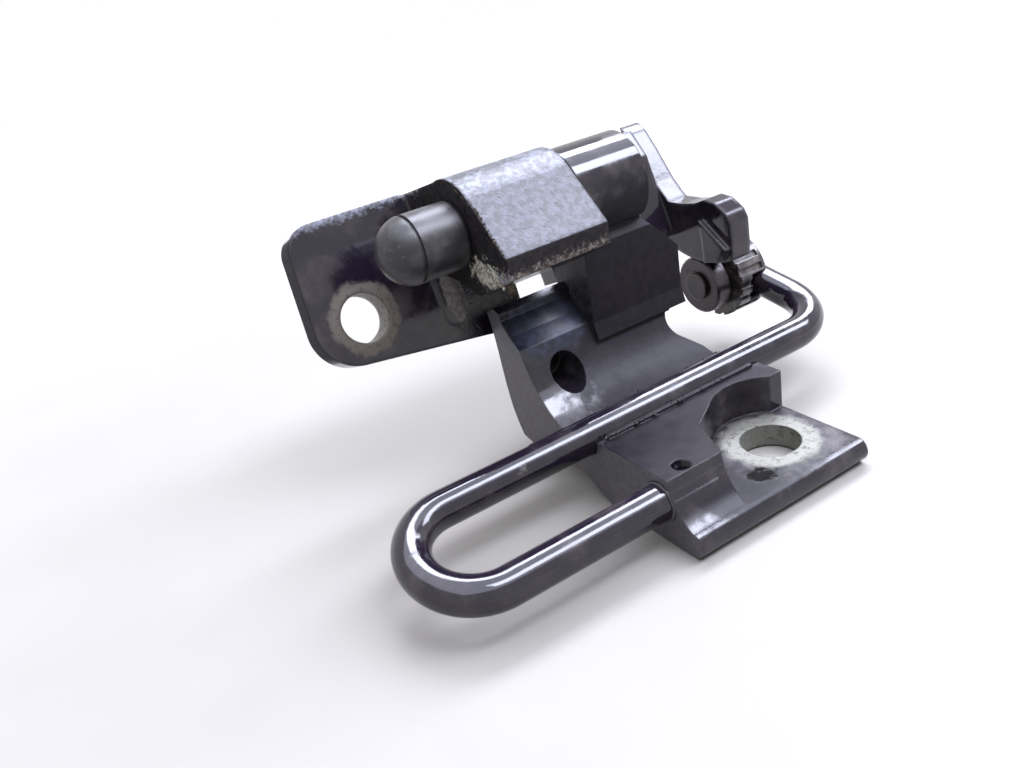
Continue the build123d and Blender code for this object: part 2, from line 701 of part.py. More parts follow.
os.makedirs("parts", exist_ok=True)
for piece in (
    leaf_a,
    torsion_bar,
    bush_left,
    bush_right,
    hinge_pin,
    pin_washer,
    pin_clip,
    pin_cap,
    leaf_b,
    roller,
    roller_bush,
    roller_washer,
    end_housing,
):
    export_step(piece.part, f"parts/{piece.part.label}.step")
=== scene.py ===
"""Visual model of a car door hinge with a torsion bar, a cam and a roller."""

import logging
import math
import random
from dataclasses import dataclass, field
from enum import Enum
from typing import Any

import bmesh
import bpy
from mathutils import Euler, Matrix, Vector


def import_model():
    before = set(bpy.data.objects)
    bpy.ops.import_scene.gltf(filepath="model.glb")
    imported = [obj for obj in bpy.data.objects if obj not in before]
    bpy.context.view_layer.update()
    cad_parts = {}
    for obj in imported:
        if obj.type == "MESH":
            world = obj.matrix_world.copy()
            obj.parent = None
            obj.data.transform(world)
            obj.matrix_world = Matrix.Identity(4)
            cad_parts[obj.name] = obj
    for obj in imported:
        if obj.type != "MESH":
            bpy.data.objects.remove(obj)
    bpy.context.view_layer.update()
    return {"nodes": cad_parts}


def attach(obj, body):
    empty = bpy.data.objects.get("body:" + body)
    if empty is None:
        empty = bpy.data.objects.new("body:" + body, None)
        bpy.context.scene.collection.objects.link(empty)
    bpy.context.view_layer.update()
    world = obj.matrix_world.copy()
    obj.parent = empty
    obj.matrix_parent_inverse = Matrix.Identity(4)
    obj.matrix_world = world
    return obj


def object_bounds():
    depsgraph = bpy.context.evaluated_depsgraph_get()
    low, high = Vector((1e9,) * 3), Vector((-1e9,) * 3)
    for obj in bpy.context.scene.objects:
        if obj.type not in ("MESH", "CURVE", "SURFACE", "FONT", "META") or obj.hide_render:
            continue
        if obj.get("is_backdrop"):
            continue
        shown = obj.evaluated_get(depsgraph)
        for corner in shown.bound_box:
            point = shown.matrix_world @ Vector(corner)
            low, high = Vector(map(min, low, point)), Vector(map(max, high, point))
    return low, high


LOG = logging.getLogger("hinge")
MM = 0.001

Point = tuple[float, float, float]
Span = tuple[float, float]
Inputs = dict[str | int, Any]
Nodes = dict[str, bpy.types.Object]

# Range that nearly all values of a noise fall in.
NOISE_CORE: Span = (0.3, 0.7)
# How squarely a surface has to face a side for a patch to begin there and to be full.
FACING_CUT: Span = (0.55, 0.85)


class Body(Enum):
    """Rigid bodies of the hinge that visual pieces can ride on."""

    FIXED = "leaf_a_side"
    SWINGING = "leaf_b_side"


class Side(Enum):
    """Sides of the hinge that a patch can be kept to, each as an axis and a sign."""

    LEFT = (0, -1)
    FRONT = (1, -1)
    TOP = (2, 1)


def linear(hex_colour: str) -> tuple[float, float, float, float]:
    """Turn an sRGB hex colour into a linear RGBA value.

    Args:
        hex_colour: Six hex digits, such as "1a1b20".

    Returns:
        The linear red, green and blue with an alpha of one.
    """
    channels = [int(hex_colour[i : i + 2], 16) / 255 for i in (0, 2, 4)]
    curve = [c / 12.92 if c <= 0.04045 else ((c + 0.055) / 1.055) ** 2.4 for c in channels]
    return (curve[0], curve[1], curve[2], 1.0)


def feed(tree: bpy.types.NodeTree, node: bpy.types.Node, inputs: Inputs) -> None:
    """Link or set inputs of a node.

    Args:
        tree: The node tree that holds the node.
        node: The node to feed.
        inputs: Input sockets by name or number, each with a value or the socket linked to it.
    """
    for key, value in inputs.items():
        if isinstance(value, bpy.types.NodeSocket):
            tree.links.new(value, node.inputs[key])
        else:
            node.inputs[key].default_value = value


def add_node(
    tree: bpy.types.NodeTree,
    kind: str,
    settings: dict[str, Any] | None = None,
    inputs: Inputs | None = None,
) -> bpy.types.Node:
    """Add a shader node, set it up and link what feeds it.

    Args:
        tree: The node tree to add to.
        kind: The node's type name.
        settings: Attributes of the node and their values.
        inputs: Input sockets by name or number, each with a value or the socket linked to it.

    Returns:
        The new node.
    """
    node = tree.nodes.new(kind)
    for name, value in (settings or {}).items():
        setattr(node, name, value)
    feed(tree, node, inputs or {})
    return node


@dataclass
class Pattern:
    """Helpers that build the masks and bumps of one material in real millimetres."""

    tree: bpy.types.NodeTree

    def coords(self) -> bpy.types.NodeSocket:
        """Give the object's own coordinates, which are the hinge's frame in metres."""
        return add_node(self.tree, "ShaderNodeTexCoord").outputs["Object"]

    def noise(
        self,
        size_mm: float,
        detail: float = 4.0,
        roughness: float = 0.55,
        stretch: Point = (1.0, 1.0, 1.0),
    ) -> bpy.types.NodeSocket:
        """Make a noise whose blotches are about the given size.

        Args:
            size_mm: Size of one blotch in millimetres.
            detail: Number of finer layers.
            roughness: Strength of the finer layers.
            stretch: Scale of the pattern along each axis.

        Returns:
            The noise value socket.
        """
        mapping = add_node(
            self.tree,
            "ShaderNodeMapping",
            inputs={"Vector": self.coords(), "Scale": stretch},
        )
        texture = add_node(
            self.tree,
            "ShaderNodeTexNoise",
            inputs={
                "Vector": mapping.outputs[0],
                "Scale": 1.0 / (size_mm * MM),
                "Detail": detail,
                "Roughness": roughness,
            },
        )
        return texture.outputs[0]

    def cells(self, size_mm: float) -> bpy.types.NodeSocket:
        """Make round cells of about the given size, dark in their middles.

        Args:
            size_mm: Size of one cell in millimetres.

        Returns:
            The distance socket.
        """
        texture = add_node(
            self.tree,
            "ShaderNodeTexVoronoi",
            inputs={"Vector": self.coords(), "Scale": 1.0 / (size_mm * MM)},
        )
        return texture.outputs["Distance"]

    def span(
        self,
        value: bpy.types.NodeSocket,
        low: float,
        high: float,
        out_low: float = 0.0,
        out_high: float = 1.0,
    ) -> bpy.types.NodeSocket:
        """Map a value from one span to another and clamp it.

        Args:
            value: The socket to map.
            low: Value that gives out_low.
            high: Value that gives out_high.
            out_low: Result at low.
            out_high: Result at high.

        Returns:
            The mapped socket.
        """
        node = add_node(
            self.tree,
            "ShaderNodeMapRange",
            settings={"interpolation_type": "SMOOTHSTEP"},
            inputs={
                "Value": value,
                "From Min": low,
                "From Max": high,
                "To Min": out_low,
                "To Max": out_high,
            },
        )
        return node.outputs[0]

    def ragged(self, size_mm: float, roughness: float, reach_mm: float) -> bpy.types.NodeSocket:
        """Make the uneven offset, up to reach_mm either way, that frays a mask's outline."""
        noise = self.noise(size_mm, detail=5.0, roughness=roughness)
        return self.span(noise, *NOISE_CORE, -reach_mm, reach_mm)

    def maths(self, operation: str, a: Any, b: Any = 0.0) -> bpy.types.NodeSocket:
        """Join two values or sockets by one operation of the maths node."""
        settings = {"operation": operation}
        return add_node(self.tree, "ShaderNodeMath", settings, inputs={0: a, 1: b}).outputs[0]

    def mix(self, factor: Any, a: Any, b: Any) -> bpy.types.NodeSocket:
        """Mix two colours.

        Args:
            factor: Share of the second colour.
            a: First colour or socket.
            b: Second colour or socket.

        Returns:
            The mixed colour socket.
        """
        # The mix node repeats its socket names for each kind of data, so they go by number.
        node = add_node(
            self.tree,
            "ShaderNodeMix",
            settings={"data_type": "RGBA"},
            inputs={"Factor": factor, 6: a, 7: b},
        )
        return node.outputs[2]

    def blend(self, factor: Any, a: Any, b: Any) -> bpy.types.NodeSocket:
        """Mix two plain values or sockets, where the factor is the share of the second."""
        return add_node(self.tree, "ShaderNodeMix", inputs={"Factor": factor, 2: a, 3: b}).outputs[0]

    def distance(self, centre_mm: Point, scale: Point = (1.0, 1.0, 1.0)) -> bpy.types.NodeSocket:
        """Measure how far each point lies from a centre.

        Args:
            centre_mm: The centre in the hinge's frame.
            scale: Weight of each axis; zero leaves an axis out.

        Returns:
            The distance socket, in millimetres.
        """
        moved = add_node(
            self.tree,
            "ShaderNodeVectorMath",
            settings={"operation": "SUBTRACT"},
            inputs={0: self.coords(), 1: tuple(c * MM for c in centre_mm)},
        )
        weighted = add_node(
            self.tree,
            "ShaderNodeVectorMath",
            settings={"operation": "MULTIPLY"},
            inputs={0: moved.outputs[0], 1: tuple(s / MM for s in scale)},
        )
        length = add_node(
            self.tree,
            "ShaderNodeVectorMath",
            settings={"operation": "LENGTH"},
            inputs={0: weighted.outputs[0]},
        )
        return length.outputs["Value"]

    def along(self, axis: int) -> bpy.types.NodeSocket:
        """Give one coordinate in millimetres, by axis 0, 1 or 2."""
        split = add_node(self.tree, "ShaderNodeSeparateXYZ", inputs={0: self.coords()})
        return self.maths("MULTIPLY", split.outputs[axis], 1.0 / MM)

    def facing(self, side: Side) -> bpy.types.NodeSocket:
        """Give how much the surface faces one side of the object.

        Args:
            side: The side to face.

        Returns:
            The socket, from -1 to 1.
        """
        axis, sign = side.value
        normal = add_node(self.tree, "ShaderNodeTexCoord").outputs["Normal"]
        split = add_node(self.tree, "ShaderNodeSeparateXYZ", inputs={0: normal})
        return self.maths("MULTIPLY", split.outputs[axis], float(sign))

    def bump(self, height: Any, depth_mm: float, normal: Any = None) -> bpy.types.NodeSocket:
        """Turn a height into a bumped normal.

        Args:
            height: The height socket.
            depth_mm: Depth of the relief in millimetres.
            normal: Normal socket that the relief is laid over.

        Returns:
            The normal socket.
        """
        inputs: Inputs = {"Height": height, "Distance": depth_mm * MM, "Strength": 1.0}
        if normal is not None:
            inputs["Normal"] = normal
        return add_node(self.tree, "ShaderNodeBump", inputs=inputs).outputs[0]

    def soft_edge(self, radius_mm: float) -> bpy.types.NodeSocket:
        """Give the normal that rounds the look of sharp edges."""
        inputs: Inputs = {"Radius": radius_mm * MM}
        return add_node(self.tree, "ShaderNodeBevel", {"samples": 6}, inputs).outputs[0]


def new_material(name: str) -> tuple[bpy.types.Material, Pattern, bpy.types.Node]:
    """Start a node material.

    Args:
        name: Name of the material.

    Returns:
        The material, its pattern helper and its main shader.
    """
    material = bpy.data.materials.new(name)
    material.use_nodes = True
    tree = material.node_tree
    return material, Pattern(tree), tree.nodes["Principled BSDF"]


@dataclass
class Layers:
    """Values of the paint while one feature after another is laid on it."""

    colour: Any
    roughness: Any
    height: Any
    coat: Any
    metal: Any = 0.0
    shine: Any = 0.5

    def raise_by(self, pattern: Pattern, height: Any, mask: Any) -> None:
        """Add a height in millimetres where a mask lets it."""
        self.height = pattern.maths("ADD", self.height, pattern.maths("MULTIPLY", height, mask))


@dataclass(frozen=True)
class Pitting:
    """Stretch of the forging where corrosion has lifted and pitted the paint."""

    share: float
    span_x_mm: Span
    fade_mm: float = 0.6
    pit_mm: float = 1.3
    pit_cut: Span = (0.36, 0.1)
    pit_depth_mm: float = 0.07
    crumble_mm: float = 1.1
    crumble_depth_mm: float = 0.15
    roughness: float = 0.2

    def lay(self, pattern: Pattern, layers: Layers) -> None:
        """Lay the pits and the crumble over the paint.

        Args:
            pattern: Pattern helper of the material.
            layers: Values of the paint, which are changed.
        """
        start, end = self.span_x_mm
        after = pattern.span(pattern.along(0), start - self.fade_mm, start + self.fade_mm)
        before = pattern.span(pattern.along(0), end + self.fade_mm, end - self.fade_mm)
        rough = pattern.maths("MULTIPLY", after, before)
        pits = pattern.span(pattern.cells(self.pit_mm), *self.pit_cut, 0.0, self.share)
        lumps = pattern.noise(self.crumble_mm, detail=4.0, roughness=0.7)
        crumble = pattern.maths("MULTIPLY", lumps, self.crumble_depth_mm)
        eaten = pattern.maths("SUBTRACT", crumble, pattern.maths("MULTIPLY", pits, self.pit_depth_mm))
        layers.raise_by(pattern, eaten, rough)
        layers.roughness = pattern.blend(rough, layers.roughness, self.roughness)


@dataclass(frozen=True)
class Patch:
    """Area where the paint is dusty, worn, crusted or eaten by corrosion, or carries a painted sheen,
    highlight, reflection or shade.
    """

    centre_mm: Point
    radius_mm: float
    colours: tuple[str, str]
    roughness: float
    grain_mm: float
    relief_mm: float
    weights: Point = (1.0, 1.0, 1.0)
    side: Side | None = None
    ragged_mm: float = 2.0
    share: float = 1.0
    shine: float = 0.5
    fade_mm: float = 0.9
    fray_grains: float = 3.0
    blotch_grains: float = 1.6
    blotch_cut: Span = (0.4, 0.6)

    def mask(self, pattern: Pattern) -> bpy.types.NodeSocket:
        """Give the share of the patch at each point.

        Args:
            pattern: Pattern helper of the material.

        Returns:
            The mask socket.
        """
        ragged = pattern.ragged(self.grain_mm * self.fray_grains, 0.65, self.ragged_mm)
        reach = pattern.maths("ADD", pattern.distance(self.centre_mm, self.weights), ragged)
        outer, inner = self.radius_mm + self.fade_mm, self.radius_mm - self.fade_mm
        mask = pattern.span(reach, outer, inner, 0.0, self.share)
        if self.side is None:
            return mask
        return pattern.maths("MULTIPLY", mask, pattern.span(pattern.facing(self.side), *FACING_CUT))

    def lay(self, pattern: Pattern, layers: Layers) -> None:
        """Lay the patch over the paint.

        Args:
            pattern: Pattern helper of the material.
            layers: Values of the paint, which are changed.
        """
        mask = self.mask(pattern)
        first, second = self.colours
        clouds = pattern.noise(self.grain_mm * self.blotch_grains, detail=4.0)
        blotch = pattern.span(clouds, *self.blotch_cut)
        tone = pattern.mix(blotch, linear(first), linear(second))
        grain = pattern.noise(self.grain_mm, detail=5.0, roughness=0.7)
        layers.colour = pattern.mix(mask, layers.colour, tone)
        layers.roughness = pattern.blend(mask, layers.roughness, self.roughness)
        layers.raise_by(pattern, pattern.maths("MULTIPLY", grain, self.relief_mm), mask)
        layers.coat = pattern.blend(mask, layers.coat, 0.0)
        layers.shine = pattern.blend(mask, layers.shine, self.shine)


@dataclass(frozen=True)
class WasherMark:
    """Bare ring that a bolt's washer rubbed round a hole."""

    centre_mm: Point
    washer_mm: float
    ragged_mm: float
    fade_mm: float
    bare: str
    rust: str
    fray_mm: float = 3.4
    # Radians of a wave in each millimetre, which puts the turning marks 0.45 mm apart.
    # Real ones are too fine to show, so these are coarser.
    mark_turn: float = 14.0
    mark_depth_mm: float = 0.004
    worn_mm: float = 0.08
    rust_mm: float = 1.3
    rust_cut: Span = (0.52, 0.66)
    clean_cut: Span = (1.0, 0.2)
    clean_metal: Span = (0.05, 0.35)
    roughness: Span = (0.42, 0.8)

    def mask(self, pattern: Pattern) -> bpy.types.NodeSocket:
        """Give the share of bare metal at each point.

        Args:
            pattern: Pattern helper of the material.

        Returns:
            The mask socket.
        """
        ragged = pattern.ragged(self.fray_mm, 0.6, self.ragged_mm)
        reach = pattern.maths("ADD", pattern.distance(self.centre_mm), ragged)
        return pattern.span(reach, self.washer_mm + self.fade_mm, self.washer_mm - self.fade_mm)

    def turning(self, pattern: Pattern) -> bpy.types.NodeSocket:
        """Give the height of the fine turning marks round the hole, from -1 to 1."""
        phase = pattern.maths("MULTIPLY", pattern.distance(self.centre_mm), self.mark_turn)
        return pattern.maths("SINE", phase)

    def lay(self, pattern: Pattern, layers: Layers) -> None:
        """Lay the worn ring over the paint.

        Args:
            pattern: Pattern helper of the material.
            layers: Values of the paint, which are changed.
        """
        mask = self.mask(pattern)
        specks = pattern.noise(self.rust_mm, detail=5.0, roughness=0.7)
        rusty = pattern.span(specks, *self.rust_cut)
        tone = pattern.mix(rusty, linear(self.bare), linear(self.rust))
        clean = pattern.span(rusty, *self.clean_cut, *self.clean_metal)
        layers.colour = pattern.mix(mask, layers.colour, tone)
        layers.roughness = pattern.blend(mask, layers.roughness, pattern.blend(rusty, *self.roughness))
        marks = pattern.maths("MULTIPLY", self.turning(pattern), self.mark_depth_mm)
        layers.raise_by(pattern, marks, mask)
        layers.height = pattern.maths(
            "SUBTRACT", layers.height, pattern.maths("MULTIPLY", mask, self.worn_mm)
        )
        layers.coat = pattern.blend(mask, layers.coat, 0.0)
        layers.metal = pattern.maths("MAXIMUM", layers.metal, pattern.maths("MULTIPLY", mask, clean))


@dataclass(frozen=True)
class PaintedForging:
    """Black dip paint over forged or drawn steel."""

    # The eye gets long bright reflections that waver a little, because the dip paint has flowed,
    # on a black with a touch of violet. Grey dust dulls it in clouds and in single grains.
    name: str
    features: tuple[Pitting | Patch | WasherMark, ...]
    colour: str = "17121c"
    dust: str = "6f6863"
    dust_share: float = 0.16
    dust_mm: float = 9.0
    dust_cut: Span = (0.46, 0.72)
    dust_dulls: float = 0.14
    grit_mm: float = 0.42
    grit_cut: Span = (0.66, 0.74)
    gloss: float = 0.08
    peel_mm: float = 2.4
    peel_depth_mm: float = 0.03
    edge_mm: float = 0.6
    coat: float = 0.12
    coat_roughness: float = 0.05

    def build(self) -> bpy.types.Material:
        """Make the material.

        Returns:
            The finished material.
        """
        material, pattern, shader = new_material(self.name)
        film = pattern.span(pattern.noise(self.dust_mm, detail=5.0), *self.dust_cut)
        grit = pattern.span(pattern.noise(self.grit_mm, detail=2.0), *self.grit_cut)
        colour: Any = linear(self.colour)
        for dust in (film, grit):
            share = pattern.maths("MULTIPLY", dust, self.dust_share)
            colour = pattern.mix(share, colour, linear(self.dust))
        peel = pattern.noise(self.peel_mm, detail=2.0)
        layers = Layers(
            colour=colour,
            roughness=pattern.blend(film, self.gloss, self.gloss + self.dust_dulls),
            height=pattern.maths("MULTIPLY", peel, self.peel_depth_mm),
            coat=self.coat,
        )
        for feature in self.features:
            feature.lay(pattern, layers)
        # The layers' height is in millimetres already, so one unit of it is one millimetre deep.
        normal = pattern.bump(layers.height, 1.0, pattern.soft_edge(self.edge_mm))
        surface: Inputs = {
            "Base Color": layers.colour,
            "Roughness": layers.roughness,
            "Normal": normal,
            "Coat Weight": layers.coat,
            "Coat Roughness": self.coat_roughness,
            "Metallic": layers.metal,
            "Specular IOR Level": layers.shine,
        }
        feed(pattern.tree, shader, surface)
        return material


@dataclass(frozen=True)
class GroundSteel:
    """Steel turned or ground on a lathe and left bare."""

    # The eye gets a dull grey gleam, drawn out along the axis by fine lines that run round it,
    # with brown oil stains. The lines lie 0.06 mm apart along X, a sixth of line_mm.
    # Real ones are finer and wouldn't show.
    name: str
    colour: str
    stain: str
    roughness: float = 0.32
    stain_dulls: float = 0.3
    stain_share: float = 0.35
    stain_mm: float = 2.6
    stain_cut: Span = (0.5, 0.7)
    line_mm: float = 0.35
    line_stretch: Point = (6.0, 1.0, 1.0)
    line_depth_mm: float = 0.012
    edge_mm: float = 0.25

    def build(self) -> bpy.types.Material:
        """Make the material.

        Returns:
            The finished material.
        """
        material, pattern, shader = new_material(self.name)
        lines = pattern.noise(self.line_mm, detail=2.0, roughness=0.5, stretch=self.line_stretch)
        clouds = pattern.noise(self.stain_mm, detail=5.0, roughness=0.65)
        stains = pattern.span(clouds, *self.stain_cut, 0.0, self.stain_share)
        surface: Inputs = {
            "Base Color": pattern.mix(stains, linear(self.colour), linear(self.stain)),
            "Roughness": pattern.blend(stains, self.roughness, self.roughness + self.stain_dulls),
            "Normal": pattern.bump(lines, self.line_depth_mm, pattern.soft_edge(self.edge_mm)),
            "Metallic": 1.0,
        }
        feed(pattern.tree, shader, surface)
        return material


@dataclass(frozen=True)
class SinteredBronze:
    """Bronze powder that was pressed, sintered and soaked in oil."""

    # The eye gets a warm, dull brown gold peppered with small dark pores.
    # Real pores are under 0.1 mm, too fine to show, so they are drawn 0.32 mm apart.
    name: str = "bronze_sintered_oiled"
    colour: str = "8c6b3c"
    pore: str = "3a2a18"
    pore_mm: float = 0.32
    pore_cut: Span = (0.22, 0.08)
    pore_depth_mm: float = 0.02
    roughness: Span = (0.38, 0.7)

    def build(self) -> bpy.types.Material:
        """Make the material.

        Returns:
            The finished material.
        """
        material, pattern, shader = new_material(self.name)
        pores = pattern.span(pattern.cells(self.pore_mm), *self.pore_cut)
        surface: Inputs = {
            "Base Color": pattern.mix(pores, linear(self.colour), linear(self.pore)),
            "Roughness": pattern.blend(pores, *self.roughness),
            "Normal": pattern.bump(pores, -self.pore_depth_mm),
            "Metallic": 1.0,
        }
        feed(pattern.tree, shader, surface)
        return material


@dataclass(frozen=True)
class MouldedRubber:
    """Black rubber moulded in one piece."""

    # The eye gets a satin charcoal whose broad soft reflections grow dull under a breath of dust,
    # with short pale scuffs. The mould's grain is drawn at 0.25 mm, coarser than it is.
    name: str = "rubber_moulded_satin"
    colour: str = "18171b"
    dust: str = "77706c"
    bloom_mm: float = 5.0
    bloom_cut: Span = (0.42, 0.72)
    bloom_share: Span = (0.02, 0.2)
    scuff_mm: float = 1.6
    scuff_stretch: Point = (0.35, 1.0, 1.6)
    scuff_cut: Span = (0.6, 0.72)
    scuff_share: float = 0.35
    grain_mm: float = 0.25
    grain_depth_mm: float = 0.02
    roughness: Span = (0.36, 0.62)
    edge_mm: float = 0.3

    def build(self) -> bpy.types.Material:
        """Make the material.

        Returns:
            The finished material.
        """
        material, pattern, shader = new_material(self.name)
        bloom = pattern.span(
            pattern.noise(self.bloom_mm, detail=5.0), *self.bloom_cut, *self.bloom_share
        )
        strokes = pattern.noise(self.scuff_mm, detail=4.0, roughness=0.6, stretch=self.scuff_stretch)
        scuffs = pattern.span(strokes, *self.scuff_cut, 0.0, self.scuff_share)
        pale = pattern.maths("MAXIMUM", bloom, scuffs)
        grain = pattern.noise(self.grain_mm, detail=3.0)
        surface: Inputs = {
            "Base Color": pattern.mix(pale, linear(self.colour), linear(self.dust)),
            "Roughness": pattern.blend(bloom, *self.roughness),
            "Normal": pattern.bump(grain, self.grain_depth_mm, pattern.soft_edge(self.edge_mm)),
        }
        feed(pattern.tree, shader, surface)
        return material


@dataclass(frozen=True)
class MouldedPlastic:
    """Black polyamide, injection-moulded in a polished mould."""

    # The eye gets crisp highlights on the ribs, crossed by hairlines, under a greasy grey dust.
    # Real hairlines are under 0.05 mm wide, too fine to show, so they are drawn at 0.6 mm.
    name: str = "polyamide_moulded_gloss_black"
    colour: str = "15131a"
    dust: str = "7b746f"
    film_mm: float = 3.5
    film_cut: Span = (0.4, 0.68)
    film_share: Span = (0.12, 0.55)
    hairline_mm: float = 0.6
    hairline_stretch: Point = (0.1, 1.0, 1.6)
    hairline_cut: Span = (0.62, 0.68)
    hairline_depth_mm: float = 0.008
    roughness: Span = (0.2, 0.36)
    edge_mm: float = 0.35
    coat: float = 0.2
    coat_roughness: float = 0.06

    def build(self) -> bpy.types.Material:
        """Make the material.

        Returns:
            The finished material.
        """
        material, pattern, shader = new_material(self.name)
        film = pattern.span(pattern.noise(self.film_mm, detail=5.0), *self.film_cut, *self.film_share)
        strokes = pattern.noise(
            self.hairline_mm, detail=2.0, roughness=0.5, stretch=self.hairline_stretch
        )
        hairlines = pattern.span(strokes, *self.hairline_cut)
        edge = pattern.soft_edge(self.edge_mm)
        surface: Inputs = {
            "Base Color": pattern.mix(film, linear(self.colour), linear(self.dust)),
            "Roughness": pattern.blend(hairlines, *self.roughness),
            "Normal": pattern.bump(hairlines, -self.hairline_depth_mm, edge),
            "Coat Weight": self.coat,
            "Coat Roughness": self.coat_roughness,
        }
        feed(pattern.tree, shader, surface)
        return material


@dataclass(frozen=True)
class CorrosionCrust:
    """Oxide that has grown out through the paint."""

    # The eye gets a crumbly, quite matt and mottled crust without any highlight.
    name: str
    colours: tuple[str, str]
    mottle_mm: float = 0.9
    mottle_cut: Span = (0.38, 0.62)
    grain_mm: float = 0.35
    grain_depth_mm: float = 0.12
    roughness: Span = (0.7, 0.95)

    def build(self) -> bpy.types.Material:
        """Make the material.

        Returns:
            The finished material.
        """
        material, pattern, shader = new_material(self.name)
        first, second = self.colours
        clouds = pattern.noise(self.mottle_mm, detail=5.0, roughness=0.7)
        mottle = pattern.span(clouds, *self.mottle_cut)
        grain = pattern.noise(self.grain_mm, detail=4.0, roughness=0.7)
        surface: Inputs = {
            "Base Color": pattern.mix(mottle, linear(first), linear(second)),
            "Roughness": pattern.blend(mottle, *self.roughness),
            "Normal": pattern.bump(grain, self.grain_depth_mm),
        }
        feed(pattern.tree, shader, surface)
        return material


@dataclass(frozen=True)
class PaleBoard:
    """Board with a matt, pale coat that lies under the hinge."""

    # The eye gets an even, matt ground that shows soft shadows and grows lighter farther away.
    name: str = "floor_pale_board"
    near: tuple[str, str] = ("84817a", "8c8982")
    far: tuple[str, str] = ("c6c3bc", "d0cdc6")
    fade_mm: Span = (150.0, 900.0)
    cloud_mm: float = 40.0
    roughness: float = 0.7

    def build(self) -> bpy.types.Material:
        """Make the material.

        Returns:
            The finished material.
        """
        material, pattern, shader = new_material(self.name)
        cloud = pattern.noise(self.cloud_mm, detail=3.0)
        near, far = (pattern.mix(cloud, linear(a), linear(b)) for a, b in (self.near, self.far))
        away = pattern.span(pattern.distance((0.0, 0.0, 0.0)), *self.fade_mm)
        surface: Inputs = {"Base Color": pattern.mix(away, near, far), "Roughness": self.roughness}
        feed(pattern.tree, shader, surface)
        return material


@dataclass(frozen=True)
class Crumbs:
    """Many small lumps scattered along a line of one body."""

    name: str
    path_mm: tuple[Point, ...]
    count: int
    size_mm: Span
    scatter_mm: Point
    seed: int
    squash: Span = (0.6, 1.3)
    dent: float = 0.12

    def build(self, material: bpy.types.Material, body: Body) -> None:
        """Make the lumps as one mesh that rides on a body.

        Args:
            material: Material of the lumps.
            body: Body that carries them.
        """
        dice = random.Random(self.seed)
        mesh = bpy.data.meshes.new(self.name)
        work = bmesh.new()
        for _ in range(self.count):
            place = self._place(dice)
            size = dice.uniform(*self.size_mm) * MM
            stretch = [size * dice.uniform(*self.squash) for _ in range(3)]
            turn = Euler([dice.uniform(0.0, math.tau) for _ in range(3)]).to_matrix().to_4x4()
            shape = Matrix.Translation(place) @ turn @ Matrix.Diagonal((*stretch, 1.0))
            made = bmesh.ops.create_icosphere(work, subdivisions=2, radius=1.0, matrix=shape)
            for vertex in made["verts"]:
                vertex.co += Vector([dice.uniform(-self.dent, self.dent) * size for _ in range(3)])
        work.to_mesh(mesh)
        work.free()
        for face in mesh.polygons:
            face.use_smooth = True
        mesh.materials.append(material)
        made_object = bpy.data.objects.new(self.name, mesh)
        bpy.context.scene.collection.objects.link(made_object)
        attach(made_object, body.value)
        LOG.info("%s: %d lumps of %s", self.name, self.count, material.name)

    def _place(self, dice: random.Random) -> Vector:
        """Pick a point near the path.

        Args:
            dice: Source of the random numbers.

        Returns:
            The point, in metres.
        """
        step = dice.randrange(len(self.path_mm) - 1)
        start, end = Vector(self.path_mm[step]), Vector(self.path_mm[step + 1])
        spread = Vector([dice.uniform(-s, s) for s in self.scatter_mm])
        return (start.lerp(end, dice.random()) + spread) * MM


@dataclass(frozen=True)
class PaintCollar:
    """Ring of paint that has pooled where the bar goes into leaf A."""

    name: str
    centre_mm: Point
    ring_mm: float
    bead_mm: float
    segments: int = 64
    sides: int = 14

    def build(self, material: bpy.types.Material, body: Body) -> None:
        """Make the ring.

        Args:
            material: Material of the ring.
            body: Body that carries it.
        """
        bpy.ops.mesh.primitive_torus_add(
            location=[c * MM for c in self.centre_mm],
            rotation=(0.0, math.pi / 2, 0.0),
            major_radius=self.ring_mm * MM,
            minor_radius=self.bead_mm * MM,
            major_segments=self.segments,
            minor_segments=self.sides,
        )
        ring = bpy.context.object
        ring.name = self.name
        # The paint's pattern is laid out in the hinge's frame, so the ring's own frame is that one.
        bpy.ops.object.transform_apply(location=True, rotation=True, scale=True)
        bpy.ops.object.shade_smooth()
        ring.data.materials.append(material)
        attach(ring, body.value)
        LOG.info("%s: ring of %s", self.name, material.name)


def dress(nodes: Nodes, names: tuple[str, ...], material: bpy.types.Material) -> None:
    """Lay one material on several nodes.

    Args:
        nodes: All nodes of the frame.
        names: Names of the nodes to dress.
        material: The material.
    """
    for name in names:
        mesh = nodes[name].data
        mesh.materials.clear()
        mesh.materials.append(material)
        LOG.info("%s: %s", name, material.name)


